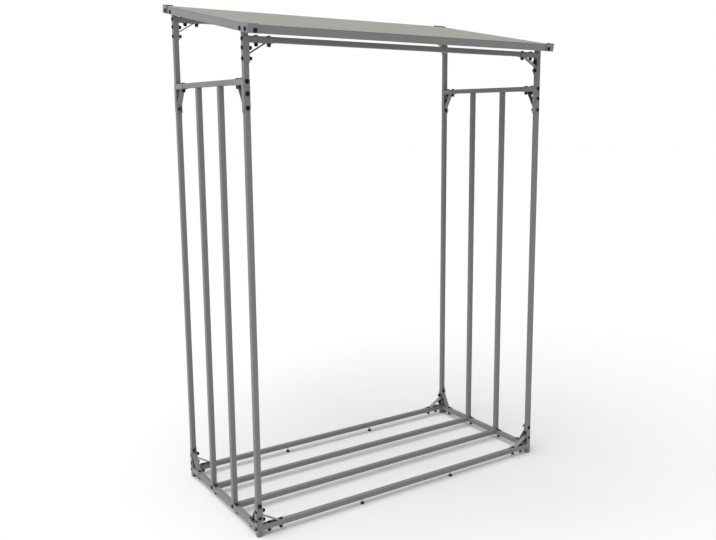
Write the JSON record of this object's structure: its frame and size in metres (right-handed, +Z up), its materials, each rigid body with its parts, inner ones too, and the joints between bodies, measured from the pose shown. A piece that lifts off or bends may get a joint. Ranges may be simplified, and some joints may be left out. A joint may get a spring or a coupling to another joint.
{
  "type": "log store",
  "caption": "Open-fronted steel-tube log store with slatted sides, lengthwise floor rails, folded corner brackets and a single-pitch sheet roof that falls to the front.",
  "frame": {"origin": "on the ground, under the middle of the whole outline", "axes": "+X to the right along the open front, +Y to the back, +Z up"},
  "size_m": [1.406, 0.7866, 1.978],
  "materials": {
    "frame_coat": "grey powder coat, satin",
    "bracket_coat": "grey powder coat, satin",
    "roof_coat": "grey powder coat, satin",
    "black_foot": "moulded black",
    "black_seal": "cut sheet, matt black"
  },
  "bodies": {
    "root": {"back_floor_left_bracket": "bracket_coat", "back_floor_rail": "frame_coat", "back_floor_right_bracket": "bracket_coat", "back_left_post": "frame_coat", "back_log_rail": "frame_coat", "back_right_post": "frame_coat", "back_top_left_bracket": "bracket_coat", "back_top_rail": "frame_coat", "back_top_right_bracket": "bracket_coat", "front_floor_left_bracket": "bracket_coat", "front_floor_rail": "frame_coat", "front_floor_right_bracket": "bracket_coat", "front_left_post": "frame_coat", "front_log_rail": "frame_coat", "front_right_post": "frame_coat", "front_top_left_bracket": "bracket_coat", "front_top_rail": "frame_coat", "front_top_right_bracket": "bracket_coat", "left_back_slat": "frame_coat", "left_floor_back_bracket": "bracket_coat", "left_floor_front_bracket": "bracket_coat", "left_floor_rail": "frame_coat", "left_front_slat": "frame_coat", "left_upper_back_bracket": "bracket_coat", "left_upper_front_bracket": "bracket_coat", "left_upper_rail": "frame_coat", "right_back_slat": "frame_coat", "right_floor_back_bracket": "bracket_coat", "right_floor_front_bracket": "bracket_coat", "right_floor_rail": "frame_coat", "right_front_slat": "frame_coat", "right_upper_back_bracket": "bracket_coat", "right_upper_front_bracket": "bracket_coat", "right_upper_rail": "frame_coat", "roof_back_rim": "roof_coat", "roof_cap_back_left": "roof_coat", "roof_cap_back_right": "roof_coat", "roof_cap_front_left": "roof_coat", "roof_cap_front_right": "roof_coat", "roof_front_rim": "roof_coat", "roof_left_rim": "roof_coat", "roof_right_rim": "roof_coat", "roof_seal_back_left": "black_seal", "roof_seal_back_right": "black_seal", "roof_seal_front_left": "black_seal", "roof_seal_front_right": "black_seal", "roof_sheet": "roof_coat", "support_feet": "black_foot"}
  },
  "joints": []
}
